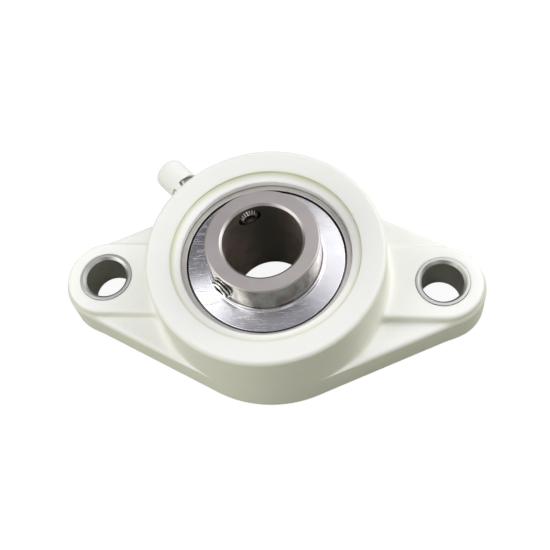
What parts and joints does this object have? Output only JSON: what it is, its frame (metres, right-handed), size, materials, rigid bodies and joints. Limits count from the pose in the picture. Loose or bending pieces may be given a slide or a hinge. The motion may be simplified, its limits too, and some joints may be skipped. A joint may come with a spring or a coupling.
{
  "type": "flange mount bearing",
  "caption": "Two-bolt rhombic plastic flange housing with a self-aligning wide-inner-ring ball bearing held on its shaft by set screws, with a capped grease nipple.",
  "frame": {"origin": "on the bearing axis, in the plane of the mounting face at the back of the housing", "axes": "+Z along the bearing axis, from the mounting face towards the collar; +X towards the right bolt, seen from the front with the grease nipple at the upper left"},
  "size_m": [0.113, 0.063, 0.0333],
  "materials": {
    "ivory_plastic": "moulded, satin",
    "cap_plastic": "moulded, semi-gloss",
    "bushing_steel": "turned",
    "ground_steel": "ground",
    "collar_steel": "ground, satin end face",
    "polished_steel": "bright pressed stainless",
    "ball_steel": "lapped",
    "pressed_steel": "pressed, dull",
    "screw_steel": "stainless, cut thread",
    "nipple_steel": "machined",
    "seal_rubber": "moulded nitrile"
  },
  "bodies": {
    "housing": {"housing": "ivory_plastic", "bolt_bushing_left": "bushing_steel", "bolt_bushing_right": "bushing_steel", "grease_nipple": "nipple_steel", "nipple_spring": "nipple_steel"},
    "insert": {"outer_ring": "ground_steel", "seal_plate_front": "pressed_steel", "seal_plate_rear": "pressed_steel", "seal_lip_front": "seal_rubber", "seal_lip_rear": "seal_rubber"},
    "shaft_ring": {"inner_ring": "collar_steel", "slinger_front": "polished_steel", "slinger_rear": "polished_steel"},
    "cage": {"cage_half_front": "pressed_steel", "cage_half_rear": "pressed_steel", "cage_rivet_1": "pressed_steel", "cage_rivet_2": "pressed_steel", "cage_rivet_3": "pressed_steel", "cage_rivet_4": "pressed_steel", "cage_rivet_5": "pressed_steel", "cage_rivet_6": "pressed_steel", "cage_rivet_7": "pressed_steel", "cage_rivet_8": "pressed_steel"},
    "ball_1": {"ball_1": "ball_steel"},
    "ball_2": {"ball_2": "ball_steel"},
    "ball_3": {"ball_3": "ball_steel"},
    "ball_4": {"ball_4": "ball_steel"},
    "ball_5": {"ball_5": "ball_steel"},
    "ball_6": {"ball_6": "ball_steel"},
    "ball_7": {"ball_7": "ball_steel"},
    "ball_8": {"ball_8": "ball_steel"},
    "set_screw_1": {"set_screw_1": "screw_steel"},
    "set_screw_2": {"set_screw_2": "screw_steel"},
    "nipple_cap": {"nipple_cap": "cap_plastic"},
    "nipple_check_ball": {"nipple_check_ball": "ball_steel"}
  },
  "joints": [
    {"name": "insert_tilt", "type": "hinge", "parent": "housing", "child": "insert", "pos_m": [0, 0, 0.015], "axis": [1, 0, 0], "range_deg": [-2, 2]},
    {"name": "shaft_spin", "type": "hinge", "parent": "insert", "child": "shaft_ring", "pos_m": [0, 0, 0.015], "axis": [0, 0, 1], "continuous": true},
    {"name": "cage_orbit", "type": "hinge", "parent": "insert", "child": "cage", "pos_m": [0, 0, 0.015], "axis": [0, 0, 1], "continuous": true},
    {"name": "ball_1_roll", "type": "hinge", "parent": "cage", "child": "ball_1", "pos_m": [0.01675, 0, 0.015], "axis": [0, 0, 1], "continuous": true},
    {"name": "ball_2_roll", "type": "hinge", "parent": "cage", "child": "ball_2", "pos_m": [0.01184, 0.01184, 0.015], "axis": [0, 0, 1], "continuous": true},
    {"name": "ball_3_roll", "type": "hinge", "parent": "cage", "child": "ball_3", "pos_m": [0, 0.01675, 0.015], "axis": [0, 0, 1], "continuous": true},
    {"name": "ball_4_roll", "type": "hinge", "parent": "cage", "child": "ball_4", "pos_m": [-0.01184, 0.01184, 0.015], "axis": [0, 0, 1], "continuous": true},
    {"name": "ball_5_roll", "type": "hinge", "parent": "cage", "child": "ball_5", "pos_m": [-0.01675, 0, 0.015], "axis": [0, 0, 1], "continuous": true},
    {"name": "ball_6_roll", "type": "hinge", "parent": "cage", "child": "ball_6", "pos_m": [-0.01184, -0.01184, 0.015], "axis": [0, 0, 1], "continuous": true},
    {"name": "ball_7_roll", "type": "hinge", "parent": "cage", "child": "ball_7", "pos_m": [0, -0.01675, 0.015], "axis": [0, 0, 1], "continuous": true},
    {"name": "ball_8_roll", "type": "hinge", "parent": "cage", "child": "ball_8", "pos_m": [0.01184, -0.01184, 0.015], "axis": [0, 0, 1], "continuous": true},
    {"name": "set_screw_1_travel", "type": "slide", "parent": "shaft_ring", "child": "set_screw_1", "axis": [-0.6561, -0.7547, 0], "range_m": [-0.00175, 0.004]},
    {"name": "set_screw_2_travel", "type": "slide", "parent": "shaft_ring", "child": "set_screw_2", "axis": [-0.4384, 0.8988, 0], "range_m": [-0.001, 0.005]},
    {"name": "nipple_cap_pull", "type": "slide", "parent": "housing", "child": "nipple_cap", "axis": [-0.7071, 0.7071, 0], "range_m": [0, 0.008]},
    {"name": "check_ball_press", "type": "slide", "parent": "housing", "child": "nipple_check_ball", "axis": [0.7071, -0.7071, 0], "range_m": [0, 0.001], "stiffness_N_per_m": 300, "deforming": ["nipple_spring"]}
  ],
  "couplings": [
    {"joint": "cage_orbit", "follows": "shaft_spin", "ratio": 0.38152},
    {"joint": "ball_1_roll", "follows": "shaft_spin", "ratio": -1.9916},
    {"joint": "ball_2_roll", "follows": "shaft_spin", "ratio": -1.9916},
    {"joint": "ball_3_roll", "follows": "shaft_spin", "ratio": -1.9916},
    {"joint": "ball_4_roll", "follows": "shaft_spin", "ratio": -1.9916},
    {"joint": "ball_5_roll", "follows": "shaft_spin", "ratio": -1.9916},
    {"joint": "ball_6_roll", "follows": "shaft_spin", "ratio": -1.9916},
    {"joint": "ball_7_roll", "follows": "shaft_spin", "ratio": -1.9916},
    {"joint": "ball_8_roll", "follows": "shaft_spin", "ratio": -1.9916}
  ]
}
